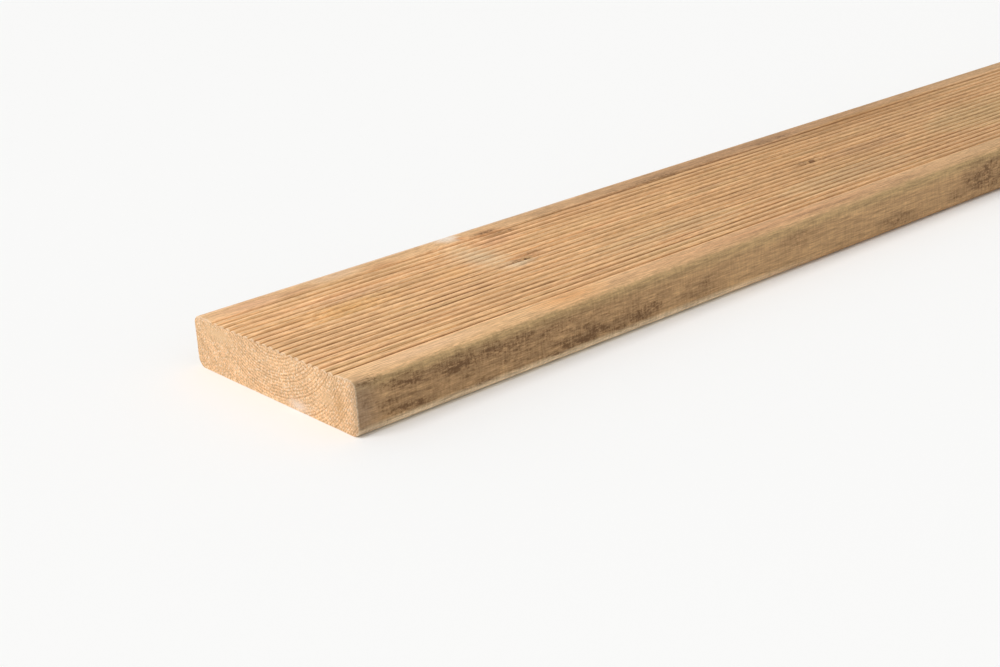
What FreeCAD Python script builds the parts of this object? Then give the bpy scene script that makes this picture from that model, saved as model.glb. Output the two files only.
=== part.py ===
"""A softwood decking board, 145 mm wide, with one ribbed face and one smooth face.

The real board is one piece of sawn pine that ran once through a four-sided planer: the
heads take all four faces to size, round the four long arrises, and cut the shallow
grooves of the ribbed face. It is then cross-cut square at both ends.

Frame: X runs along the board, Y across it and Z up. The origin is the middle of the
smooth underside, on which the board lies. Sizes are in millimetres.
"""

import FreeCAD, Part
import math
import os

from FreeCAD import Vector
import Sketcher

doc = FreeCAD.newDocument("decking_board")


# The driving dimensions, in millimetres
DRIVING = {
    "board_length": 2400.0,
    "board_width": 145.0,
    "board_thickness": 30.0,
    "arris_radius": 5.0,
    "plain_margin": 17.5,
    "groove_pitch": 5.75,
    "groove_width": 5.45,
    "groove_depth": 1.5,
    "groove_root_radius": 0.7,
}

# What follows from them. The grooved band is centred, with at least the plain margin on
# each side. A groove's shoulders and root meet without a corner, so the shoulder radius
# and the root radius add up to flank_radii.
DERIVED = {
    "groove_count": "=floor((board_width - 2 * plain_margin) / groove_pitch) + 1",
    "first_groove": "=(groove_count - 1) * groove_pitch / 2",
    "flank_radii": "=(groove_width ^ 2 / 4 + groove_depth ^ 2) / (2 * groove_depth)",
    "shoulder_radius": "=flank_radii - groove_root_radius",
}


def add_sizes():
    """The spreadsheet that drives the model, one named cell for each size."""
    sheet = doc.addObject("Spreadsheet::Sheet", "sizes")
    for row, (name, value) in enumerate({**DRIVING, **DERIVED}.items(), start=1):
        sheet.set(f"A{row}", name)
        sheet.set(f"B{row}", str(value))
        sheet.setAlias(f"B{row}", name)
    doc.recompute()
    return sheet


def origin_plane(body, role):
    """The body's own origin plane or axis of that role."""
    return next(o for o in body.Origin.OriginFeatures if o.Role == role)


def add_sketch(body, name, plane_role):
    """A sketch on one of the body's origin planes."""
    sketch = body.newObject("Sketcher::SketchObject", name)
    sketch.AttachmentSupport = [(origin_plane(body, plane_role), "")]
    sketch.MapMode = "FlatFace"
    return sketch


def add_constraints(sketch, constraints, sizes):
    """Adds the plain constraints, then the named ones that the spreadsheet drives."""
    sketch.addConstraint(constraints)
    for name, constraint, expression in sizes:
        index = sketch.addConstraint(constraint)
        sketch.renameConstraint(index, name)
        sketch.setExpression(f"Constraints.{name}", expression)


def draw_section(body, sheet):
    """The planed section, standing on the underside and centred across the width."""
    sketch = add_sketch(body, "section", "YZ_Plane")
    half = sheet.board_width / 2
    top = sheet.board_thickness
    corners = [
        Vector(-half, 0, 0),
        Vector(half, 0, 0),
        Vector(half, top, 0),
        Vector(-half, top, 0),
    ]
    for start, end in zip(corners, corners[1:] + corners[:1]):
        sketch.addGeometry(Part.LineSegment(start, end))
    under, right, over, left = range(4)
    start, end = 1, 2
    plain = [
        Sketcher.Constraint("Coincident", under, end, right, start),
        Sketcher.Constraint("Coincident", right, end, over, start),
        Sketcher.Constraint("Coincident", over, end, left, start),
        Sketcher.Constraint("Coincident", left, end, under, start),
        Sketcher.Constraint("Horizontal", over),
        Sketcher.Constraint("Vertical", right),
        Sketcher.Constraint("Vertical", left),
        Sketcher.Constraint("Symmetric", under, start, under, end, -1, 1),
    ]
    width = Sketcher.Constraint("DistanceX", under, start, under, end, 2 * half)
    thickness = Sketcher.Constraint("DistanceY", right, start, right, end, top)
    sizes = [
        ("width", width, "sizes.board_width"),
        ("thickness", thickness, "sizes.board_thickness"),
    ]
    add_constraints(sketch, plain, sizes)
    return sketch


def draw_groove(body, sheet):
    """One groove: two rounded shoulders that run into a rounded root.

    The sketch's own origin lies on the ribbed face, over the first groove's middle.
    """
    sketch = add_sketch(body, "groove_section", "YZ_Plane")
    half = sheet.groove_width / 2
    depth = sheet.groove_depth
    root_radius = sheet.groove_root_radius
    shoulder_radius = sheet.shoulder_radius
    clear = depth
    turn = math.atan2(sheet.flank_radii - depth, half)

    def arc(centre, radius, first, last):
        circle = Part.Circle(centre, Vector(0, 0, 1), radius)
        return Part.ArcOfCircle(circle, first, last)

    left = arc(Vector(-half, -shoulder_radius, 0), shoulder_radius, turn, math.pi / 2)
    root = arc(
        Vector(0, root_radius - depth, 0),
        root_radius,
        math.pi + turn,
        2 * math.pi - turn,
    )
    right = arc(
        Vector(half, -shoulder_radius, 0),
        shoulder_radius,
        math.pi / 2,
        math.pi - turn,
    )
    rise = Part.LineSegment(Vector(half, 0, 0), Vector(half, clear, 0))
    lid = Part.LineSegment(Vector(half, clear, 0), Vector(-half, clear, 0))
    fall = Part.LineSegment(Vector(-half, clear, 0), Vector(-half, 0, 0))
    for curve in (left, root, right, rise, lid, fall):
        sketch.addGeometry(curve)
    left, root, right, rise, lid, fall = range(6)
    start, end, centre = 1, 2, 3
    level, upright, origin = -1, -2, 1
    plain = [
        Sketcher.Constraint("Tangent", left, start, root, start),
        Sketcher.Constraint("Tangent", root, end, right, end),
        Sketcher.Constraint("Coincident", right, start, rise, start),
        Sketcher.Constraint("Coincident", rise, end, lid, start),
        Sketcher.Constraint("Coincident", lid, end, fall, start),
        Sketcher.Constraint("Coincident", fall, end, left, end),
        Sketcher.Constraint("Vertical", rise),
        Sketcher.Constraint("Horizontal", lid),
        Sketcher.Constraint("Vertical", fall),
        Sketcher.Constraint("PointOnObject", left, end, level),
        Sketcher.Constraint("PointOnObject", right, start, level),
        Sketcher.Constraint("PointOnObject", root, centre, upright),
        Sketcher.Constraint("Vertical", left, centre, left, end),
        Sketcher.Constraint("Vertical", right, centre, right, start),
    ]
    width = Sketcher.Constraint("DistanceX", left, end, right, start, 2 * half)
    root_size = Sketcher.Constraint("Radius", root, root_radius)
    root_drop = Sketcher.Constraint(
        "DistanceY", root, centre, level, origin, depth - root_radius
    )
    lid_height = Sketcher.Constraint("DistanceY", rise, start, rise, end, clear)
    sizes = [
        ("width", width, "sizes.groove_width"),
        ("root_radius", root_size, "sizes.groove_root_radius"),
        ("root_drop", root_drop, "sizes.groove_depth - sizes.groove_root_radius"),
        ("lid_height", lid_height, "sizes.groove_depth"),
    ]
    add_constraints(sketch, plain, sizes)
    sketch.setExpression("AttachmentOffset.Base.x", "-sizes.first_groove")
    sketch.setExpression("AttachmentOffset.Base.y", "sizes.board_thickness")
    return sketch


def long_arrises(shape, width, thickness):
    """The names of the four edges that run the whole length at the section's corners."""
    near = 1e-6
    lengthwise = 0.999
    names = []
    for number, edge in enumerate(shape.Edges, start=1):
        middle = edge.CenterOfMass
        at_side = abs(abs(middle.y) - width / 2) < near
        at_face = min(abs(middle.z), abs(middle.z - thickness)) < near
        along = abs(edge.tangentAt(edge.FirstParameter).x) > lengthwise
        if at_side and at_face and along:
            names.append(f"Edge{number}")
    return names


def make_board(sheet):
    """Plane to size, round the arrises, cut the first groove and repeat it."""
    body = doc.addObject("PartDesign::Body", "decking_board")
    body.Label = "decking_board"

    pad = body.newObject("PartDesign::Pad", "planed_length")
    pad.Profile = draw_section(body, sheet)
    pad.SideType = "Symmetric"
    pad.setExpression("Length", "sizes.board_length")
    doc.recompute()

    arrises = long_arrises(pad.Shape, sheet.board_width, sheet.board_thickness)
    rounding = body.newObject("PartDesign::Fillet", "rounded_arrises")
    rounding.Base = (pad, arrises)
    rounding.setExpression("Radius", "sizes.arris_radius")
    doc.recompute()

    groove = body.newObject("PartDesign::Pocket", "first_groove")
    groove.Profile = draw_groove(body, sheet)
    groove.Type = "ThroughAll"
    groove.SideType = "Symmetric"
    doc.recompute()

    grooves = body.newObject("PartDesign::LinearPattern", "grooves")
    grooves.Originals = [groove]
    grooves.Direction = (origin_plane(body, "Y_Axis"), [""])
    grooves.Mode = "Spacing"
    grooves.setExpression("Offset", "sizes.groove_pitch")
    grooves.setExpression("Occurrences", "sizes.groove_count")
    body.Tip = grooves
    doc.recompute()
    return body


def groove_area(sheet):
    """The area that one groove takes out of the section, by its arcs."""
    half = sheet.groove_width / 2
    turn = math.atan2(sheet.flank_radii - sheet.groove_depth, half)
    swept = math.pi / 2 - turn
    shoulder = sheet.shoulder_radius
    root = sheet.groove_root_radius
    meet = half - shoulder * math.cos(turn)
    over_shoulder = (
        shoulder * shoulder * math.cos(turn)
        - shoulder**2 * (swept + math.sin(turn) * math.cos(turn)) / 2
    )
    over_root = meet * (sheet.groove_depth - root) + root**2 * (
        swept + math.sin(turn) * math.cos(turn)
    ) / 2
    return 2 * (over_shoulder + over_root)


def check(sheet, board):
    """Stops if an object failed, a shape is not one sound solid, or a cut took nothing."""
    tolerance = 1e-4
    for item in doc.Objects:
        if "Invalid" in item.State or "Error" in item.State:
            raise RuntimeError(f"{item.Label}: {item.State}")
    shape = board.Shape
    if shape.isNull() or not shape.isValid() or len(shape.Solids) != 1:
        raise RuntimeError("the board is not one valid solid")
    corners = (4 - math.pi) * sheet.arris_radius**2
    section = sheet.board_width * sheet.board_thickness - corners
    section -= sheet.groove_count * groove_area(sheet)
    expected = section * sheet.board_length
    if abs(shape.Volume / expected - 1) > tolerance:
        raise RuntimeError(f"volume {shape.Volume:.0f}, expected {expected:.0f} mm3")


sheet = add_sizes()
board = make_board(sheet)
check(sheet, board)
os.makedirs("parts", exist_ok=True)
board.Shape.exportStep(f"parts/{board.Label}.step")
box = board.Shape.BoundBox
print(f"decking_board {box.XLength:.2f} x {box.YLength:.2f} x {box.ZLength:.2f} mm")
print(f"{int(sheet.groove_count)} grooves, {board.Shape.Volume / 1e6:.3f} dm3")
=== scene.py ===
"""A treated pine decking board, 2.4 m long, lying ribbed face up on a pale studio floor.

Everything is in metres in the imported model's frame: X runs along the board, Y across it
and Z up, and the board lies on Z = 0. The end that faces the camera is at low X.
"""

import functools
import math

import bpy
import numpy as np
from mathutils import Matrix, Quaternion, Vector
from mathutils.geometry import delaunay_2d_cdt


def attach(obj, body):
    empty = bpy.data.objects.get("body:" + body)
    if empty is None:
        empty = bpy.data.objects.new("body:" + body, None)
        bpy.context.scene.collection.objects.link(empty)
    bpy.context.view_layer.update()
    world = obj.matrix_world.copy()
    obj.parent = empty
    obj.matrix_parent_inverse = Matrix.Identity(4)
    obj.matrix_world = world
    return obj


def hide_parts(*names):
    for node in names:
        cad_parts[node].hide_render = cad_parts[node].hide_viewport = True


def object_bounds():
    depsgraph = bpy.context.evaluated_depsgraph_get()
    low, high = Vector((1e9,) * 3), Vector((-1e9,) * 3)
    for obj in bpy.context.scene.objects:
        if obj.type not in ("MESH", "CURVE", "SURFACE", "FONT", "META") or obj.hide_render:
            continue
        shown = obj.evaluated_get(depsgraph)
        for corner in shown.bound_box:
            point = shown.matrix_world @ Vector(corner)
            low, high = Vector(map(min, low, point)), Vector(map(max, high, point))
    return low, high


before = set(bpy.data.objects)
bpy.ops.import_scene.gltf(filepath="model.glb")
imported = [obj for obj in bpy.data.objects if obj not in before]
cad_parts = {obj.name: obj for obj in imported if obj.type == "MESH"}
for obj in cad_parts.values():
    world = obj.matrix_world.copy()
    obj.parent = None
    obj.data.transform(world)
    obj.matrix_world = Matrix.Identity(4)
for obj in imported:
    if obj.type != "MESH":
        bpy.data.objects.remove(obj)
cad_low, cad_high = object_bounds()


# The decking board: one length of pressure-treated pine. A planer takes all four faces
# to size in one pass, rounds the long corners and cuts twenty shallow grooves in the
# top. A cross-cut saw leaves both ends rough, with torn fibres round their rims.

half_length = cad_high.x
half_width = cad_high.y
thickness = cad_high.z
arris_radius = 0.005
groove_count = 20
groove_pitch = 0.00575
groove_width = 0.00545
groove_depth = 0.0015
groove_root_radius = 0.0007
outer_groove = (groove_count - 1) * groove_pitch / 2
band = outer_groove + groove_width / 2

# The pith of the log ran above the ribbed face, over the middle of the board
pith = np.array([0.001, 0.067])
random = np.random.default_rng(1907)


def groove_outline():
    """(offset, drop) across one groove: a rounded shoulder, the root, the other shoulder."""
    half = groove_width / 2
    both_radii = (half**2 + groove_depth**2) / (2 * groove_depth)
    shoulder = both_radii - groove_root_radius
    turn = math.atan2(both_radii - groove_depth, half)
    points = []
    for angle in np.linspace(math.pi / 2, turn, 4):
        points.append((shoulder * math.cos(angle) - half, shoulder - shoulder * math.sin(angle)))
    for angle in np.linspace(turn, math.pi / 2, 3)[1:]:
        offset = -groove_root_radius * math.cos(angle)
        drop = groove_depth - groove_root_radius + groove_root_radius * math.sin(angle)
        points.append((offset, drop))
    return points + [(-offset, drop) for offset, drop in reversed(points[:-1])]


def straight(start, end, steps):
    """Points from start towards end, which the next stretch of the section begins with."""
    start, end = np.array(start), np.array(end)
    return [tuple(start + (end - start) * step / steps) for step in range(steps)]


def rounded(middle, first_angle, steps=5):
    """Points round a quarter of a long corner, without the last."""
    points = []
    for step in range(steps):
        angle = math.radians(first_angle + 90 * step / steps)
        across = middle[0] + arris_radius * math.cos(angle)
        points.append((across, middle[1] + arris_radius * math.sin(angle)))
    return points


def board_section():
    """The planed section as (Y, Z) points, from the underside round by the left edge."""
    underside_steps = 24
    edge_steps = 7
    margin_steps = 7
    flat = half_width - arris_radius
    upper = thickness - arris_radius
    section = straight((-flat, 0), (flat, 0), underside_steps)
    section += rounded((flat, arris_radius), -90)
    section += straight((half_width, arris_radius), (half_width, upper), edge_steps)
    section += rounded((flat, upper), 0)
    section += straight((flat, thickness), (band, thickness), margin_steps)
    for groove in range(groove_count):
        middle = outer_groove - groove * groove_pitch
        for offset, drop in groove_outline():
            section.append((middle - offset, thickness - drop))
    section += straight((-band, thickness), (-flat, thickness), margin_steps)[1:]
    section += rounded((-flat, upper), 90)
    section += straight((-half_width, upper), (-half_width, arris_radius), edge_steps)
    section += rounded((-flat, arris_radius), 180)
    return np.array(section)


def corner_weights(places, cell):
    """Weights that carry a random height at each cell's corner smoothly to the places."""
    at = (places - places.min()) / cell
    corner = np.floor(at).astype(int)
    share = at - corner
    share = share * share * (3 - 2 * share)
    weights = np.zeros((len(places), corner.max() + 2))
    rows = np.arange(len(places))
    weights[rows, corner] = 1 - share
    weights[rows, corner + 1] = share
    return weights


def unevenness(along, along_cell, across, across_cell):
    """Smooth random heights from 0 to 1 over the board, one row for each station."""
    weights = corner_weights(along, along_cell)
    other = corner_weights(across, across_cell)
    return weights @ random.random((weights.shape[1], other.shape[1])) @ other.T


section = board_section()
girth_steps = np.linalg.norm(np.roll(section, -1, 0) - section, axis=1)
girth_places = np.concatenate([[0], np.cumsum(girth_steps)])

# Stations along the board stand closest at the sawn ends, and closer over the length that
# the camera sees than over the rest
board_length = 2 * half_length
end_stations = np.array([0, 0.0003, 0.0008, 0.0016, 0.0028, 0.0045, 0.007, 0.0105, 0.015])
seen_length = 0.62
seen_count = 136
unseen_count = 130
stations = np.concatenate(
    [
        end_stations,
        np.linspace(end_stations[-1], seen_length, seen_count)[1:-1],
        np.linspace(seen_length, board_length - end_stations[-1], unseen_count),
        board_length - end_stations[-2::-1],
    ]
)
from_end = np.minimum(stations, board_length - stations)

# Crests of the ribs dry out unevenly and the cutter tears some of them, most of all at
# the sawn ends, and each groove runs a little deep or shallow along its length. Each
# drop here is its most, in metres, times random heights from 0 to 1.
touching = 1e-5
above_roots = section[:, 1] > thickness - groove_depth - touching
ribbed = above_roots & (np.abs(section[:, 0]) < band + touching)
crest = np.where(ribbed, 1 - (thickness - section[:, 1]) / groove_depth, 0)
rib_number = np.round((section[:, 0] + half_width) / groove_pitch)
worn_crest = 0.00022 * unevenness(stations, 0.035, rib_number, 1) ** 2
torn_crest = 0.00015 * unevenness(stations, 0.010, section[:, 0], 0.0013)
uneven_root = 0.00015 * unevenness(stations, 0.060, rib_number, 1)
torn_end = 0.0005 * random.random((len(stations), len(section))) ** 3
torn_end += 0.0002 * unevenness(stations, 3, rib_number, 1) ** 3
torn_length = 0.0022
drop = worn_crest * crest
drop += torn_crest * crest
drop += uneven_root * ribbed * (1 - crest)
drop += torn_end * crest * np.exp(-((from_end / torn_length) ** 2))[:, None]

# The saw eases and frays the rim of each end by up to a third of a millimetre
least_eased = 0.0001
most_frayed = 0.00025
eased = least_eased + most_frayed * random.random((len(stations), len(section))) ** 2
eased *= (from_end == 0)[:, None]
across = section[:, 0] * (1 - eased / half_width)
half_thickness = thickness / 2
height = section[:, 1] + (half_thickness - section[:, 1]) / half_thickness * eased - drop
along = np.repeat(stations[:, None], len(section), 1) - half_length


def sawn_end(points, side, first_number):
    """The rough face of one end: its extra points, and triangles over the whole end."""
    spacing = 0.00105
    jitter = 0.7
    rim_gap = 0.7
    inner = []
    for y in np.arange(-half_width + spacing, half_width - spacing / 2, spacing):
        for z in np.arange(spacing, thickness - spacing / 2, spacing):
            inner.append((y, z) + (random.random(2) - 0.5) * jitter * spacing)
    inner = np.array(inner)
    flat = half_width - arris_radius
    over = np.maximum(np.abs(inner[:, 0]) - flat, 0)
    from_middle = np.abs(inner[:, 1] - half_thickness)
    under = np.maximum(from_middle - half_thickness + arris_radius, 0)
    inside = np.hypot(over, under) < arris_radius - rim_gap * spacing
    order = np.argsort(points[:, 0])
    on_top = order[points[order, 1] > half_thickness]
    ceiling = np.interp(inner[:, 0], points[on_top, 0], points[on_top, 1])
    inner = inner[inside & (inner[:, 1] < ceiling - 0.5 * spacing)]
    flat_points = [Vector(p) for p in np.concatenate([points, inner])]
    rim = list(range(len(points)))
    inside_only = 1
    merging = 1e-7
    made = delaunay_2d_cdt(flat_points, [], [rim], inside_only, merging)
    numbers = [sources[0] for sources in made[3]]
    triangles = []
    for face in made[2]:
        triangle = [numbers[corner] for corner in face]
        triangles.append(triangle if side > 0 else triangle[::-1])
    least_rough = 0.00012
    most_torn = 0.0003
    rough = least_rough + most_torn * random.random(len(inner)) ** 2
    extra = np.column_stack([side * (half_length - rough), inner])
    rim_start = 0 if side < 0 else (len(stations) - 1) * len(section)
    numbered = [
        [rim_start + n if n < len(points) else first_number + n - len(points) for n in triangle]
        for triangle in triangles
    ]
    return extra, numbered


def board_mesh():
    """The board's mesh: strips from station to station, and the two sawn ends."""
    count = len(section)
    points = [np.column_stack([along.ravel(), across.ravel(), height.ravel()])]
    faces = []
    for station in range(len(stations) - 1):
        start = station * count
        for place in range(count):
            after = (place + 1) % count
            faces.append(
                [start + place, start + after, start + count + after, start + count + place]
            )
    strips = len(faces)
    end_faces = []
    for side, station in ((-1, 0), (1, len(stations) - 1)):
        rim = np.column_stack([across[station], height[station]])
        extra, triangles = sawn_end(rim, side, sum(len(p) for p in points))
        points.append(extra)
        end_faces += triangles
    points = np.concatenate(points)
    mesh = bpy.data.meshes.new("decking_board_dressed")
    mesh.from_pydata(points.tolist(), [], faces + end_faces)
    mesh.polygons.foreach_set("material_index", [0] * strips + [1] * len(end_faces))
    mesh.polygons.foreach_set("use_smooth", [True] * (strips + len(end_faces)))
    sharp = math.radians(50)
    mesh.set_sharp_from_angle(angle=sharp)
    lay_out_map(mesh, points[np.array(end_faces)].reshape(-1, 3))
    mesh.update()
    return mesh


def lay_out_map(mesh, end_corners):
    """The map for the export: the board unrolled along its length, the ends in a strip."""
    gap = 0.004
    girth_share = 0.886
    u = gap + (1 - 2 * gap) * stations / board_length
    v = gap + girth_share * girth_places / girth_places[-1]
    low_u, low_v = np.meshgrid(u[:-1], v[:-1], indexing="ij")
    high_u, high_v = np.meshgrid(u[1:], v[1:], indexing="ij")
    strips = np.stack([low_u, low_v, low_u, high_v, high_u, high_v, high_u, low_v], -1)
    far_end = end_corners[:, 0] > 0
    ends_left = 0.012
    ends_low = 0.905
    end_width = 0.47
    end_height = 0.09
    end_u = ends_left + far_end / 2 + end_width * (end_corners[:, 1] / half_width + 1) / 2
    end_v = ends_low + end_height * end_corners[:, 2] / thickness
    layer = mesh.uv_layers.new(name="OFBake")
    layout = np.concatenate([strips.ravel(), np.column_stack([end_u, end_v]).ravel()])
    layer.data.foreach_set("uv", layout.astype(np.float32))


# Knots that break the ribbed face: how far along from the near end, how far across, their
# radius there, and how much of their dark heart shows. A branch grows out from the pith
# and leans towards the log's top, and a whorl of them comes with each year's growth.
knots = [
    (0.062, 0.0160, 0.0042, 0.0),
    (0.179, 0.0025, 0.0014, 1.0),
    (0.173, 0.0650, 0.0040, 0.0),
    (0.430, 0.0040, 0.0019, 0.7),
]
first_unseen_whorl = 0.78
whorl = first_unseen_whorl
while whorl < board_length - 0.05:
    for branch in range(random.integers(1, 4)):
        beside = whorl + random.normal(0, 0.008)
        radius = random.uniform(0.0015, 0.0045)
        knots.append((beside, random.uniform(-0.08, 0.08), radius, random.uniform(0.2, 1)))
    whorl += random.uniform(0.21, 0.36)

# Dirt that was trodden or rubbed in: the middle of a patch (along, across, height), its
# half sizes, and how dark it is
near_side, far_side = -half_width, half_width
dirt_patches = [
    ((0.110, near_side, 0.0160), (0.100, 0.004, 0.0100), 0.42),
    ((0.008, near_side, 0.0275), (0.010, 0.004, 0.0025), 0.60),
    ((0.006, near_side, 0.0150), (0.010, 0.004, 0.0140), 0.35),
    ((0.031, near_side, 0.0215), (0.018, 0.004, 0.0045), 0.70),
    ((0.063, near_side, 0.0206), (0.014, 0.004, 0.0050), 0.90),
    ((0.086, near_side, 0.0206), (0.014, 0.004, 0.0046), 0.85),
    ((0.122, near_side, 0.0200), (0.030, 0.004, 0.0055), 0.50),
    ((0.138, near_side, 0.0085), (0.009, 0.004, 0.0028), 0.95),
    ((0.156, near_side, 0.0095), (0.014, 0.004, 0.0034), 1.00),
    ((0.188, near_side, 0.0090), (0.020, 0.004, 0.0042), 0.80),
    ((0.204, near_side, 0.0126), (0.008, 0.004, 0.0040), 0.70),
    ((0.018, near_side, 0.0120), (0.010, 0.004, 0.0070), 0.50),
    ((0.105, near_side, 0.0215), (0.012, 0.004, 0.0040), 0.70),
    ((0.033, near_side, 0.0068), (0.016, 0.003, 0.0014), 1.30),
    ((0.078, near_side, 0.0062), (0.014, 0.003, 0.0013), 1.10),
    ((0.112, near_side, 0.0064), (0.016, 0.003, 0.0012), 1.20),
    ((0.130, near_side, 0.0056), (0.004, 0.003, 0.0010), 1.50),
    ((0.240, near_side, 0.0110), (0.016, 0.004, 0.0070), 0.45),
    ((0.328, near_side, 0.0190), (0.014, 0.004, 0.0050), 0.35),
    ((0.422, near_side, 0.0070), (0.020, 0.004, 0.0040), 0.40),
    ((0.514, near_side, 0.0150), (0.022, 0.004, 0.0100), 0.70),
    ((0.485, near_side, 0.0080), (0.012, 0.004, 0.0040), 0.35),
    ((0.193, 0.0578, thickness), (0.006, 0.0012, 0.004), 0.90),
    ((0.203, 0.0510, thickness), (0.010, 0.0020, 0.004), 0.40),
    ((0.248, 0.0570, thickness), (0.010, 0.003, 0.004), 0.35),
    ((0.345, 0.0575, thickness), (0.060, 0.003, 0.004), 0.42),
    ((0.456, 0.0590, thickness), (0.022, 0.003, 0.004), 0.45),
    ((0.172, 0.0030, thickness), (0.004, 0.0025, 0.004), 0.50),
    ((0.188, 0.0085, thickness), (0.006, 0.0025, 0.004), 0.50),
    ((0.423, 0.0055, thickness), (0.006, 0.0030, 0.004), 0.45),
    ((0.438, 0.0030, thickness), (0.007, 0.0020, 0.004), 0.40),
    ((0.188, -0.0660, thickness), (0.007, 0.002, 0.004), 0.50),
    ((0.300, -0.0665, thickness), (0.010, 0.0015, 0.004), 0.35),
    ((0.345, -0.0665, thickness), (0.018, 0.0015, 0.004), 0.40),
    ((0.375, -0.0665, thickness), (0.012, 0.0015, 0.004), 0.35),
    ((0.432, -0.0665, thickness), (0.008, 0.0015, 0.004), 0.40),
]
unseen_patches = 34
for patch in range(unseen_patches):
    side = random.choice([near_side, far_side])
    middle = (random.uniform(0.55, 2.38), side, random.uniform(0.003, 0.027))
    half_sizes = (random.uniform(0.012, 0.05), 0.004, random.uniform(0.002, 0.006))
    dirt_patches.append((middle, half_sizes, random.uniform(0.2, 0.9)))

# Runs of dirt in the grooves, counted from the far edge: the groove, where the run starts
# and ends along the board in millimetres, and how dark it is
dirty_runs = [
    (1, 90, 180, 0.4), (1, 262, 305, 0.8), (1, 475, 520, 1.0), (2, 238, 270, 0.7),
    (2, 342, 480, 0.9), (3, 125, 155, 0.5), (3, 178, 212, 0.9), (3, 255, 280, 0.7),
    (4, 14, 32, 0.8), (4, 245, 280, 0.7), (4, 480, 502, 0.8), (5, 65, 105, 0.5),
    (5, 185, 215, 0.5), (5, 325, 352, 0.7), (6, 75, 102, 0.7), (6, 238, 252, 0.5),
    (6, 380, 420, 0.5), (7, 2, 34, 0.7), (7, 82, 105, 0.9), (7, 140, 190, 0.6),
    (8, 2, 32, 0.8), (8, 90, 120, 0.8), (8, 275, 310, 0.6), (9, 110, 150, 0.8),
    (9, 570, 610, 0.5), (10, 2, 36, 0.6), (10, 78, 145, 0.9), (10, 195, 315, 0.5),
    (11, 2, 70, 0.8), (11, 115, 150, 0.6), (12, 2, 66, 0.8), (12, 98, 138, 1.0),
    (12, 435, 600, 0.5), (13, 2, 60, 0.6), (13, 80, 140, 1.0), (13, 430, 560, 0.5),
    (14, 2, 30, 0.8), (14, 88, 135, 1.0), (14, 160, 230, 0.6), (14, 275, 400, 0.6),
    (15, 2, 80, 0.5), (15, 138, 155, 0.6), (16, 2, 80, 0.8), (16, 138, 155, 0.9),
    (16, 180, 400, 0.4), (17, 140, 165, 0.9), (17, 380, 560, 0.7), (18, 8, 80, 0.8),
    (18, 112, 135, 0.8), (18, 170, 360, 0.8), (19, 2, 25, 0.8), (19, 85, 105, 0.7),
    (19, 142, 170, 0.8), (19, 195, 360, 0.6), (20, 2, 122, 0.9), (20, 180, 365, 0.6),
]

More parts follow.
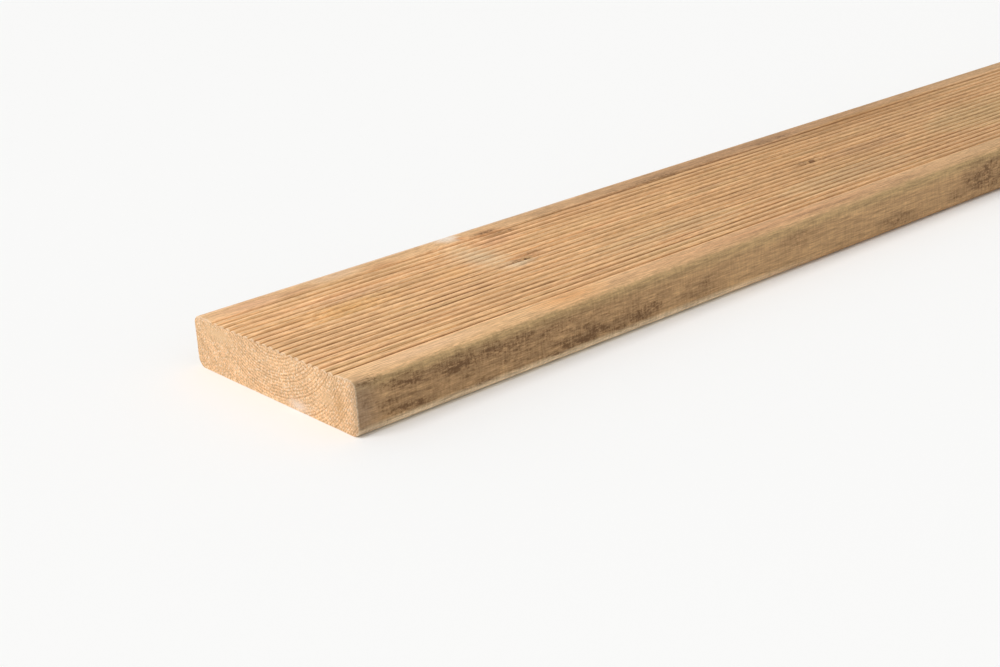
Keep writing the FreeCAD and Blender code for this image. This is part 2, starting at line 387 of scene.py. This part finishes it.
# Stains and bare places of another tint, with some painted light and shade among them: the middle,
# the half sizes, the colour and how much of it shows. Resin and bark stay near the knots; the last
# four are on the near end.
sawn = 0.0
stains_and_painted_light = [
    ((0.171, 0.0670, thickness), (0.0060, 0.0060, 0.006), "#FFF0E0", 0.90),
    ((0.177, 0.0600, thickness), (0.0035, 0.0030, 0.004), "#DE9A66", 0.80),
    ((0.195, 0.0560, thickness), (0.0120, 0.0060, 0.004), "#C48A5A", 0.60),
    ((0.188, 0.0430, thickness), (0.0150, 0.0070, 0.004), "#DCA47C", 0.50),
    ((0.074, 0.0310, thickness), (0.0220, 0.0050, 0.004), "#D8A684", 0.40),
    ((0.061, 0.0155, thickness), (0.0220, 0.0080, 0.004), "#E2AE68", 0.55),
    ((0.136, 0.0160, thickness), (0.0090, 0.0060, 0.004), "#E6B678", 0.45),
    ((0.163, 0.0260, thickness), (0.0100, 0.0200, 0.004), "#E2D0AC", 0.50),
    ((0.170, -0.0005, thickness), (0.0080, 0.0035, 0.004), "#F6DCB6", 0.80),
    ((0.181, 0.0070, thickness), (0.0090, 0.0035, 0.004), "#BF875A", 0.65),
    ((0.150, -0.0630, thickness), (0.0220, 0.0060, 0.004), "#E2A66C", 0.75),
    ((0.480, 0.0000, thickness), (0.0330, 0.0080, 0.004), "#C89C70", 0.75),
    ((0.270, -0.0260, thickness), (0.0600, 0.0160, 0.004), "#C8AE82", 0.35),
    ((0.420, -0.0300, thickness), (0.0700, 0.0160, 0.004), "#C8AE82", 0.40),
    # Painted shadow: a darker band along the far margin, as if cast by a board alongside
    ((0.450, 0.0620, thickness), (0.2000, 0.0070, 0.004), "#C4966E", 0.80),
    ((0.030, 0.0610, thickness), (0.0200, 0.0060, 0.004), "#DDA884", 0.60),
    ((0.056, 0.0590, thickness), (0.0140, 0.0035, 0.004), "#BC8760", 0.55),
    ((0.088, 0.0640, thickness), (0.0160, 0.0040, 0.004), "#F6D6BC", 0.30),
    ((0.117, 0.0580, thickness), (0.0110, 0.0040, 0.004), "#BC8658", 0.60),
    ((0.050, -0.0630, thickness), (0.0300, 0.0040, 0.004), "#EDC39A", 0.60),
    ((0.045, -0.0060, thickness), (0.0500, 0.0160, 0.004), "#D2A878", 0.30),
    ((0.100, 0.0490, thickness), (0.0300, 0.0060, 0.004), "#CFA374", 0.45),
    ((0.250, 0.0490, thickness), (0.0200, 0.0060, 0.004), "#BC8C5E", 0.45),
    ((0.340, 0.0170, thickness), (0.0220, 0.0060, 0.004), "#BC8F62", 0.45),
    ((0.180, -0.0490, thickness), (0.0220, 0.0060, 0.004), "#C4966A", 0.45),
    ((0.260, -0.0380, thickness), (0.0220, 0.0060, 0.004), "#C4966A", 0.35),
    # Painted highlight: a pale streak along the far arris
    ((0.250, 0.0690, thickness), (0.3500, 0.0018, 0.004), "#FBE0C8", 0.50),
    ((0.320, -0.0640, thickness), (0.1200, 0.0060, 0.004), "#D29C70", 0.65),
    ((0.003, near_side, 0.0150), (0.0070, 0.0040, 0.018), "#A08870", 0.60),
    ((0.130, -0.0380, thickness), (0.0600, 0.0260, 0.004), "#C69D6F", 0.40),
    ((0.420, 0.0100, thickness), (0.1600, 0.0600, 0.004), "#D2A26C", 0.35),
    ((0.580, 0.0300, thickness), (0.1000, 0.0220, 0.004), "#BE8E58", 0.20),
    # Painted shadow: a darker band along the far margin, as if cast by a board alongside
    ((0.540, 0.0560, thickness), (0.0900, 0.0120, 0.004), "#B58654", 0.70),
    ((0.620, -0.0100, thickness), (0.0800, 0.0200, 0.004), "#CDB27E", 0.50),
    ((sawn, -0.0209, 0.0031), (0.004, 0.0060, 0.0022), "#F6E2D2", 0.75),
    ((sawn, -0.0570, 0.0130), (0.004, 0.0040, 0.0060), "#C9965F", 0.50),
    ((sawn, -0.0480, 0.0140), (0.004, 0.0050, 0.0028), "#E9C092", 0.80),
    ((sawn, 0.0500, 0.0235), (0.004, 0.0120, 0.0034), "#EBC598", 0.80),
]


def closeness(points, middle, half_sizes):
    """1 in the middle of a patch, about a half at its half sizes, and nothing far off."""
    fall = 0.7
    away = (points - np.array(middle) + (half_length, 0, 0)) / half_sizes
    return np.exp(-fall * (away**2).sum(1))


def groove_dirt(points):
    """How dirty each point's groove is there, from the list of runs."""
    fade_length = 9
    share_at_end = 0.7
    groove_at = groove_count / 2 + 1 - points[:, 1] / groove_pitch
    from_near_end = 1000 * (points[:, 0] + half_length)
    total = np.zeros(len(points))
    for groove, start, end, strength in dirty_runs:
        inside = (groove_at > groove) & (groove_at < groove + 1)
        past_end = np.minimum(from_near_end - start, end - from_near_end)
        fade = np.clip(past_end / fade_length + share_at_end, 0, 1)
        total = np.maximum(total, strength * fade * inside)
    return total


def stain_and_painted_light_colours(points):
    """Each point's colour from the stains and the painted light and shade, with its share as the
    fourth value.
    """
    found = np.zeros((len(points), 4))
    for middle, half_sizes, tone, strength in stains_and_painted_light:
        share = strength * closeness(points, middle, half_sizes)
        stronger = share > found[:, 3]
        found[stronger] = linear(tone)
        found[stronger, 3] = share[stronger]
    return found


def knot_places(points):
    """Each point's place in the nearest knot, in the knot's radii, then how far the knot
    bends the grain there, and how much of its dark heart shows.
    """
    lean = 0.45
    slant = 1.5
    farthest = 20.0
    bent_from = 7
    bent_over = 3
    span = points[:, 1:] - pith
    radius = np.hypot(*span.T)
    turn = np.arctan2(span[:, 0], -span[:, 1])
    nearest = np.full(len(points), farthest)
    found = np.zeros((len(points), 3))
    hearts = np.zeros(len(points))
    for along_face, across_face, size, heart in knots:
        face_span = np.array([across_face, thickness]) - pith
        face_radius = np.hypot(*face_span)
        size_here = size * radius / face_radius
        centre = along_face - half_length + lean * (radius - face_radius)
        lengthwise = (points[:, 0] - centre) / (slant * size_here)
        round_log = radius * (turn - math.atan2(face_span[0], -face_span[1])) / size_here
        distance = np.hypot(lengthwise, round_log)
        reach = np.clip((bent_from - distance) / bent_over, 0, 1)
        nearer = distance < nearest
        nearest[nearer] = distance[nearer]
        found[nearer] = np.column_stack([lengthwise, round_log, reach])[nearer]
        hearts[nearer] = heart * reach[nearer]
    return found, hearts


def linear(hex_colour):
    """An sRGB hex colour as the linear colour that a shader takes."""
    levels = [int(hex_colour[place : place + 2], 16) / 255 for place in (1, 3, 5)]
    return [
        level / 12.92 if level <= 0.04045 else ((level + 0.055) / 1.055) ** 2.4
        for level in levels
    ] + [1]


def add_field(mesh, name, kind, values):
    """Writes one value for each point of a mesh, which the material reads by name."""
    field = mesh.attributes.new(name, kind, "POINT")
    key = {"FLOAT_VECTOR": "vector", "FLOAT_COLOR": "color", "FLOAT": "value"}[kind]
    field.data.foreach_set(key, np.ascontiguousarray(values, dtype=np.float32).ravel())


board = bpy.data.objects.new("decking_board_dressed", board_mesh())
bpy.context.scene.collection.objects.link(board)
board_points = np.array([point.co for point in board.data.vertices])
knot_field, heart_field = knot_places(board_points)
dirt_field = np.zeros(len(board_points))
for middle, half_sizes, strength in dirt_patches:
    share = strength * closeness(board_points, middle, half_sizes)
    dirt_field = np.maximum(dirt_field, share)
end_points = len(board_points) - len(stations) * len(section)
groove_field = np.tile(np.where(ribbed, 1 - crest, 0.3), len(stations))
rib_levels = random.random(int(rib_number.max()) + 1)
rib_field = np.tile(rib_levels[rib_number.astype(int)], len(stations))
add_field(board.data, "knot", "FLOAT_VECTOR", knot_field)
add_field(board.data, "heart", "FLOAT", heart_field)
add_field(board.data, "dirt", "FLOAT", dirt_field)
add_field(board.data, "run", "FLOAT", groove_dirt(board_points))
add_field(board.data, "stain_and_painted_light", "FLOAT_COLOR", stain_and_painted_light_colours(board_points))
add_field(board.data, "groove", "FLOAT", np.concatenate([groove_field, np.zeros(end_points)]))
add_field(board.data, "rib", "FLOAT", np.concatenate([rib_field, np.zeros(end_points)]))
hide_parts("decking_board")
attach(board, "root")


def add_node(tree, kind, inputs=(), **settings):
    """Adds a node with its settings, and its inputs as values or links. Gives its output."""
    made = tree.nodes.new("ShaderNode" + kind)
    for name, value in settings.items():
        setattr(made, name, value)
    sockets = [socket for socket in made.inputs if socket.enabled]
    named = {socket.name: socket for socket in reversed(sockets)}
    pairs = inputs.items() if isinstance(inputs, dict) else enumerate(inputs)
    for key, value in pairs:
        socket = sockets[key] if isinstance(key, int) else named[key]
        if isinstance(value, bpy.types.NodeSocket):
            tree.links.new(value, socket)
        else:
            socket.default_value = value
    return next(socket for socket in made.outputs if socket.enabled)


def log_grain(add):
    """The pattern that grew in the log, in millimetres, as a dict of sockets."""
    metres = add("TexCoord").node.outputs["Object"]
    place = add("VectorMath", {"Vector": metres, "Scale": 1000}, operation="SCALE")
    knot = add("Attribute", attribute_name="knot").node.outputs["Vector"]
    reach = add("SeparateXYZ", [knot]).node.outputs["Z"]
    flat_knot = add("VectorMath", [knot, (1, 1, 0)], operation="MULTIPLY")
    knot_distance = add("VectorMath", [flat_knot], operation="LENGTH")
    swell = add(
        "MapRange",
        {"Value": knot_distance, "From Min": 5, "From Max": 0},
        interpolation_type="SMOOTHSTEP",
    )
    swell = add("Math", [swell, reach], operation="MULTIPLY")

    # Rings stand 2.5 mm apart at the pith and closer outwards. The log tapers and wanders,
    # so they run out of the faces in long tongues, and they bulge round each knot.
    bulge = 4.5
    wander_size = 9
    ripple_size = 1.1
    taper = 0.005
    ring_spacing = 2.5
    crowding = 1 / 300
    from_pith = add("VectorMath", [place, (0, 1, 1)], operation="MULTIPLY")
    middle = (0, 1000 * pith[0], 1000 * pith[1])
    from_pith = add("VectorMath", [from_pith, middle], operation="SUBTRACT")
    outward = add("VectorMath", [from_pith], operation="NORMALIZE")
    shift = add("VectorMath", {"Vector": outward, "Scale": swell}, operation="SCALE")
    shift = add("VectorMath", {"Vector": shift, "Scale": -bulge}, operation="SCALE")
    grain = add("VectorMath", [place, shift], operation="ADD")
    radius = add("VectorMath", [from_pith], operation="LENGTH")
    radius = add("Math", [swell, -bulge, radius], operation="MULTIPLY_ADD")
    wander = add("VectorMath", [grain, (1 / 330, 1 / 75, 1 / 75)], operation="MULTIPLY")
    wander = add("TexNoise", {"Vector": wander, "Scale": 1, "Detail": 1})
    radius = add("Math", [wander, wander_size, radius], operation="MULTIPLY_ADD")
    ripple = add("VectorMath", [grain, (1 / 70, 1 / 7, 1 / 7)], operation="MULTIPLY")
    ripple = add("TexNoise", {"Vector": ripple, "Scale": 1, "Detail": 1})
    radius = add("Math", [ripple, ripple_size, radius], operation="MULTIPLY_ADD")
    along = add("SeparateXYZ", [place])
    radius = add("Math", [along, -taper, radius], operation="MULTIPLY_ADD")
    closer = add("Math", [radius, crowding, 1], operation="MULTIPLY_ADD")
    rings = add("Math", [radius, closer], operation="MULTIPLY")
    rings = add("Math", [rings, 1 / ring_spacing], operation="MULTIPLY")
    share = add("Math", [rings], operation="FRACT")
    number = add("Math", [rings], operation="FLOOR")
    strength = add("TexWhiteNoise", [number], noise_dimensions="1D")
    latewood = add("ValToRGB", [share])
    ramp = latewood.node.color_ramp
    for position, level in ((0.1, 0.0), (0.45, 0.12), (0.86, 0.95), (0.95, 1.0)):
        ramp.elements.new(position).color = (level, level, level, 1)
    ramp.elements[0].color = ramp.elements[-1].color = (0.3, 0.3, 0.3, 1)
    strength = add("MapRange", {"Value": strength, "To Min": 0.35, "To Max": 1})
    latewood = add("Math", [latewood, strength], operation="MULTIPLY")
    return {
        "place": place,
        "grain": grain,
        "latewood": latewood,
        "knot_distance": knot_distance,
    }


# Planed pine: cutters leave a smooth, dry face with a low sheen. The treatment turns it
# from cream to a warm tan with green in it, and the latewood of each ring stays darker.
# Dirt gathers in the grooves, and the long edges have greyed.

def planed_pine():
    """The material of the four planed faces."""
    material = bpy.data.materials.new("planed_treated_pine")
    material.use_nodes = True
    tree = material.node_tree
    add = functools.partial(add_node, tree)
    surface = tree.nodes["Principled BSDF"].inputs
    wood = log_grain(add)

    parts = add("SeparateXYZ", [wood["place"]]).node.outputs
    sideways = add("Math", [parts["Y"]], operation="ABSOLUTE")
    far_end = round(1000 * half_length)
    near_end = -far_end
    groove = add("Attribute", attribute_name="groove").node.outputs["Fac"]

    # What each pattern follows, the size of its grains in millimetres along the board and
    # across it, its roughness, and the range it covers. Fibres are 0.03 mm wide, and are
    # drawn as bundles of almost a millimetre so that they show.
    patterns = {
        "fibre": ("grain", 30, 0.8, 0.65, 0.82, 1.16),
        "fleck": ("grain", 7, 0.9, 0.75, 0.72, 1.26),
        "streak": ("grain", 150, 2.6, 0.5, 0.92, 1.07),
        "cloud": ("place", 95, 22, 0.5, 0.93, 1.06),
        "cutter_mark": ("place", 1.5, 9, 0.6, 0.86, 1.14),
        "edge_line": ("place", 13, 0.9, 0.7, 0.6, 1.34),
        "ragged": ("place", 11, 4, 0.5, 0.35, 1.5),
        "speck": ("place", 3.2, 1.0, 0.75, 0.1, 1.8),
        "stroke": ("place", 1.5, 6, 0.6, 0.5, 1.5),
        "rim": ("place", 2.2, 1.1, 0.5, 0, 0.9),
    }
    drawn = {}
    for name, (source, along, across, roughness, low, high) in patterns.items():
        steps = (1 / along, 1 / across, 1 / across)
        place = add("VectorMath", [wood[source], steps], operation="MULTIPLY")
        noise = add("TexNoise", {"Vector": place, "Scale": 1, "Detail": 3, "Roughness": roughness})
        sizes = {"Value": noise, "From Min": 0.3, "From Max": 0.7, "To Min": low, "To Max": high}
        drawn[name] = add("MapRange", sizes)

    colour = add(
        "Mix",
        {
            "Factor": add("Math", [wood["latewood"], 0.55], operation="MULTIPLY"),
            "A": linear("#F5D3A6"),
            "B": linear("#CA9D68"),
        },
        data_type="RGBA",
    )

    # Rib by rib, the cutters laid bare wood of another tint. The plain margins are pinker.
    rib = add("Attribute", attribute_name="rib").node.outputs["Fac"]
    rib_place = add(
        "CombineXYZ",
        {
            "X": add("Math", [parts["X"], 1 / 90], operation="MULTIPLY"),
            "Y": add("Math", [rib, 60], operation="MULTIPLY"),
            "Z": drawn["cloud"],
        },
    )
    rib_tint = add("TexNoise", {"Vector": rib_place, "Scale": 1, "Detail": 1})
    tint = add("ValToRGB", [rib_tint])
    tints = tint.node.color_ramp
    tints.elements[0].position = 0.3
    tints.elements[0].color = linear("#F7EDDA")
    tints.elements.new(0.5).color = linear("#FBEBD8")
    tints.elements[2].position = 0.7
    tints.elements[2].color = linear("#FEEBD9")
    sunken = add("MapRange", {"Value": groove, "From Min": 0.1, "From Max": 0.9})
    tint_in_groove = add(
        "Mix",
        {"Factor": sunken, "A": (1.0, 1.005, 1.08, 1), "B": (1.03, 0.94, 0.8, 1)},
        data_type="RGBA",
    )
    tint = add("VectorMath", [tint, tint_in_groove], operation="MULTIPLY")
    margin = add("MapRange", {"Value": sideways, "From Min": 57, "From Max": 58.5})
    tint = add("Mix", {"Factor": margin, "A": tint, "B": linear("#F9ECDF")}, data_type="RGBA")
    colour = add(
        "Mix", {"Factor": 1.0, "A": colour, "B": tint}, data_type="RGBA", blend_type="MULTIPLY"
    )

    # The crests, which the cutters left standing, are painted up to 13% lighter than the flanks: a
    # painted highlight.
    # Away from its near end the top is painted up to a quarter darker: painted shade, as if the
    # light fell off along the board.
    shade = add("MapRange", {"Value": groove, "From Max": 0.3, "To Min": 1.13, "To Max": 1})
    # Painted shade: darker from 60 mm to 520 mm along the board, and a quarter darker beyond
    painted_falloff_shade = add(
        "MapRange",
        {
            "Value": parts["X"],
            "From Min": near_end + 60,
            "From Max": near_end + 520,
            "To Min": 1,
            "To Max": 0.75,
        },
    )
    shade = add("Math", [shade, painted_falloff_shade], operation="MULTIPLY")
    for name in ("fibre", "fleck", "streak", "cloud"):
        shade = add("Math", [shade, drawn[name]], operation="MULTIPLY")
    colour = add("VectorMath", {"Vector": colour, "Scale": shade}, operation="SCALE")

    # The long edges have greyed, with a faint mark from each turn of the cutters. Their lower
    # corners are painted pale over the 250 to 350 mm nearest the near end: painted light, as if
    # bounced up from the floor.
    edge = add("Math", [drawn["ragged"], 0.9, sideways], operation="MULTIPLY_ADD")
    edge = add("Math", [drawn["speck"], 0.8, edge], operation="MULTIPLY_ADD")
    edge = add("MapRange", {"Value": edge, "From Min": 71.6, "From Max": 73.6, "To Max": 0.92})
    edge_shade = drawn["cloud"]
    for name in ("cutter_mark", "edge_line"):
        edge_shade = add("Math", [edge_shade, drawn[name]], operation="MULTIPLY")
    high = add("MapRange", {"Value": parts["Z"], "From Min": 21, "From Max": 28})
    edge_colour = add(
        "Mix",
        {"Factor": high, "A": linear("#BD976A"), "B": linear("#BB9E6E")},
        data_type="RGBA",
    )
    edge_colour = add("VectorMath", {"Vector": edge_colour, "Scale": edge_shade}, operation="SCALE")
    colour = add("Mix", {"Factor": edge, "A": colour, "B": edge_colour}, data_type="RGBA")
    # Painted light: pale lower corners where the floor's bounce would light them
    low = add("MapRange", {"Value": parts["Z"], "From Min": 6, "From Max": 2.5, "To Max": 0.85})
    beside = add("MapRange", {"Value": sideways, "From Min": 66, "From Max": 69})
    bounce_near_end = {"Value": parts["X"], "From Min": near_end + 350, "From Max": near_end + 250}
    bounce_near_end = add("MapRange", bounce_near_end)
    for share in (beside, bounce_near_end):
        low = add("Math", [low, share], operation="MULTIPLY")
    painted_bounce_colour = add(
        "VectorMath", {"Vector": linear("#FAE3BE")[:3], "Scale": edge_shade}, operation="SCALE"
    )
    colour = add("Mix", {"Factor": low, "A": colour, "B": painted_bounce_colour}, data_type="RGBA")

    # A stain keeps the light and dark of the wood that it soaked into; so do the painted highlight
    # and shadow listed with the stains
    stain_and_painted_light = add("Attribute", attribute_name="stain_and_painted_light").node.outputs
    stain_and_painted_light_colour = add("VectorMath", {"Vector": stain_and_painted_light["Color"], "Scale": shade}, operation="SCALE")
    colour = add(
        "Mix", {"Factor": stain_and_painted_light["Alpha"], "A": colour, "B": stain_and_painted_light_colour}, data_type="RGBA"
    )

    # Dirt in the grooves lies in the darker runs listed above; a fainter darkening along every
    # groove, deepest at its root, is partly dirt and partly painted shade
    run_place = add(
        "CombineXYZ",
        {
            "X": add("Math", [parts["X"], 1 / 42], operation="MULTIPLY"),
            "Y": add("Math", [rib, 35], operation="MULTIPLY"),
        },
    )
    run = add("TexNoise", {"Vector": run_place, "Scale": 1, "Detail": 2})
    run = add(
        "MapRange",
        {"Value": run, "From Min": 0.45, "From Max": 0.7, "To Min": 0.3, "To Max": 0.9},
    )
    placed = add("Attribute", attribute_name="run").node.outputs["Fac"]
    run = add("Math", [run, placed], operation="MAXIMUM")
    # Painted shade and dirt together: darker towards the groove roots
    groove_shade_and_dirt = add(
        "MapRange",
        {"Value": groove, "From Min": 0.3, "From Max": 0.9, "To Max": 0.95},
        interpolation_type="SMOOTHSTEP",
    )
    groove_dirt = add("Math", [run, groove_shade_and_dirt], operation="MULTIPLY")
    colour = add(
        "Mix", {"Factor": groove_dirt, "A": colour, "B": linear("#7E4B20")}, data_type="RGBA"
    )

    # Dirt on the faces is ragged: it catches on the fibres and on the cutter marks
    dirt = add("Attribute", attribute_name="dirt").node.outputs["Fac"]
    for name in ("ragged", "speck", "stroke"):
        dirt = add("Math", [dirt, drawn[name]], operation="MULTIPLY")
    dirt = add("Math", [dirt, 0.85], operation="MINIMUM")
    colour = add("Mix", {"Factor": dirt, "A": colour, "B": linear("#5F3F22")}, data_type="RGBA")

    # Knots: the dark heart of the branch, and pale resin-rich wood round it
    heart = add("Attribute", attribute_name="heart").node.outputs["Fac"]
    rim = add("Math", [drawn["rim"], wood["knot_distance"]])
    knot = add("ValToRGB", [add("Math", [rim, 0.2], operation="MULTIPLY")])
    ramp = knot.node.color_ramp
    tones = ((0.16, "#6A452A"), (0.25, "#5A3A22"), (0.34, "#C59A68"), (0.5, "#D6B080"))
    for position, tone in tones:
        ramp.elements.new(position).color = linear(tone)
    ramp.elements[0].color = linear("#5E3D24")
    ramp.elements[-1].color = linear("#DDBA8C")
    knot_share = add(
        "MapRange",
        {"Value": wood["knot_distance"], "From Min": 2.6, "From Max": 1.0},
        interpolation_type="SMOOTHSTEP",
    )
    knot_share = add("Math", [knot_share, heart], operation="MULTIPLY")
    colour = add("Mix", {"Factor": knot_share, "A": colour, "B": knot}, data_type="RGBA")

    # Beside the saw cut, torn fibres show pale
    lengthwise = add("Math", [parts["X"]], operation="ABSOLUTE")
    torn = {"Value": lengthwise, "From Min": far_end - 1, "From Max": far_end - 0.1}
    torn = add("MapRange", torn)
    torn = add("Math", [torn, drawn["rim"]], operation="MULTIPLY")
    colour = add("Mix", {"Factor": torn, "A": colour, "B": linear("#F4DCBC")}, data_type="RGBA")
    tree.links.new(colour, surface["Base Color"])

    surface["IOR"].default_value = 1.5
    surface["Specular IOR Level"].default_value = 0.3
    surface["Roughness"].default_value = 0.74
    relief = add("Math", [wood["latewood"], 0.5, drawn["fibre"]], operation="MULTIPLY_ADD")
    relief = add("Math", [relief, drawn["fleck"]])
    bump = add("Bump", {"Height": relief, "Strength": 0.8, "Distance": 0.0003})
    tree.links.new(bump, surface["Normal"])
    return material


# Sawn end grain: the saw cuts the fibres across and leaves their ends standing, so the
# face is paler than the planed wood, dull and speckled, and the rings show faintly.

def sawn_end_grain():
    """The material of the two cross-cut ends."""
    material = bpy.data.materials.new("sawn_end_grain")
    material.use_nodes = True
    tree = material.node_tree
    add = functools.partial(add_node, tree)
    surface = tree.nodes["Principled BSDF"].inputs
    wood = log_grain(add)
    colour = add(
        "Mix",
        {
            "Factor": add("Math", [wood["latewood"], 0.78], operation="MULTIPLY"),
            "A": linear("#F5CB9D"),
            "B": linear("#BA7C46"),
        },
        data_type="RGBA",
    )

    # Torn fibre ends stand in tufts of about a millimetre, far coarser than the fibres so
    # that they show, and some of them catch the light. Each pattern has its size in
    # millimetres, its roughness, and the range it covers.
    patterns = {
        "tuft": (1.1, 0.75, 0.58, 1.38),
        "patch": (16, 0.5, 0.92, 1.06),
    }
    bright_spacing = 1.9
    drawn = {}
    for name, (size, roughness, low, high) in patterns.items():
        place = add("VectorMath", {"Vector": wood["place"], "Scale": 1 / size}, operation="SCALE")
        noise = add("TexNoise", {"Vector": place, "Scale": 1, "Detail": 3, "Roughness": roughness})
        sizes = {"Value": noise, "From Min": 0.3, "From Max": 0.7, "To Min": low, "To Max": high}
        drawn[name] = add("MapRange", sizes)
    shade = add("Math", [drawn["tuft"], drawn["patch"]], operation="MULTIPLY")
    colour = add("VectorMath", {"Vector": colour, "Scale": shade}, operation="SCALE")
    bright = add("TexVoronoi", {"Vector": wood["place"], "Scale": 1 / bright_spacing})
    pale = add("MapRange", {"Value": bright, "From Min": 0.34, "From Max": 0.16, "To Max": 0.85})

    # The rim is torn pale along the top, where the saw left the wood
    parts = add("SeparateXYZ", [wood["place"]]).node.outputs
    rim = add("MapRange", {"Value": parts["Z"], "From Min": 28.3, "From Max": 29.8, "To Max": 0.5})
    rim = add("Math", [rim, drawn["tuft"]], operation="MULTIPLY")
    pale = add("Math", [pale, rim], operation="MAXIMUM")
    colour = add("Mix", {"Factor": pale, "A": colour, "B": linear("#FCE5C8")}, data_type="RGBA")
    stain_and_painted_light = add("Attribute", attribute_name="stain_and_painted_light").node.outputs
    colour = add(
        "Mix", {"Factor": stain_and_painted_light["Alpha"], "A": colour, "B": stain_and_painted_light["Color"]}, data_type="RGBA"
    )
    tree.links.new(colour, surface["Base Color"])
    surface["Roughness"].default_value = 0.88
    surface["Specular IOR Level"].default_value = 0.2
    bump = add("Bump", {"Height": drawn["tuft"], "Strength": 0.8, "Distance": 0.0006})
    tree.links.new(bump, surface["Normal"])
    return material


board.data.materials.append(planed_pine())
board.data.materials.append(sawn_end_grain())


# The floor: a seamless sheet of pale, matt studio paper that the board lies on. It is so
# wide that no low view shows its edge.

floor_reach = 60
floor_corners = [(-1, -1, 0), (1, -1, 0), (1, 1, 0), (-1, 1, 0)]
floor_mesh = bpy.data.meshes.new("studio_floor")
floor_mesh.from_pydata(
    [[floor_reach * side for side in corner] for corner in floor_corners], [], [(0, 1, 2, 3)]
)
floor = bpy.data.objects.new("studio_floor", floor_mesh)
bpy.context.scene.collection.objects.link(floor)
paper = bpy.data.materials.new("studio_paper")
paper.use_nodes = True
paper.node_tree.nodes["Principled BSDF"].inputs["Base Color"].default_value = linear("#FAFAF9")
paper.node_tree.nodes["Principled BSDF"].inputs["Roughness"].default_value = 0.9
floor.data.materials.append(paper)


# The light: one broad, soft source high off the near end of the board and a little behind
# it, in a pale room that fills the shadows. The room's walls are whiter than its ceiling.

world = bpy.data.worlds.new("studio_room")
world.use_nodes = True
background = world.node_tree.nodes["Background"].inputs
background["Color"].default_value = linear("#FFFFFF")
direction = add_node(world.node_tree, "TexCoord").node.outputs["Generated"]
upward = add_node(world.node_tree, "SeparateXYZ", [direction]).node.outputs["Z"]
ranges = {"Value": upward, "From Min": 0.05, "From Max": 0.2, "To Min": 0.97, "To Max": 0.53}
world.node_tree.links.new(add_node(world.node_tree, "MapRange", ranges), background["Strength"])
bpy.context.scene.world = world

key_light = bpy.data.lights.new("key_light", "SUN")
key_light.energy = 1.85
key_light.angle = math.radians(36)
light_travel = Vector((0.98, -0.13, -1.27))
key_holder = bpy.data.objects.new("key_light", key_light)
key_holder.rotation_mode = "QUATERNION"
key_holder.rotation_quaternion = light_travel.to_track_quat("-Z", "Y")
bpy.context.scene.collection.objects.link(key_holder)
bpy.context.scene.view_settings.view_transform = "Standard"


# The camera: a moderate telephoto, held a little above the board and off its near end,
# and tipped slightly to one side, so that the board climbs to the right.

camera_place = Vector((-1.6602, -0.7381, 0.3597))
camera_aim = Vector((0.59675, 0.71815, -0.35796))
camera_tip = math.radians(-3.533)
lens = bpy.data.cameras.new("main_camera")
lens.sensor_width = 36
lens.lens = 65.13
lens.clip_start = 0.01
camera = bpy.data.objects.new("main_camera", lens)
camera.location = camera_place
camera.rotation_mode = "QUATERNION"
camera.rotation_quaternion = camera_aim.to_track_quat("-Z", "Y") @ Quaternion((0, 0, 1), camera_tip)
bpy.context.scene.collection.objects.link(camera)
bpy.context.scene.camera = camera
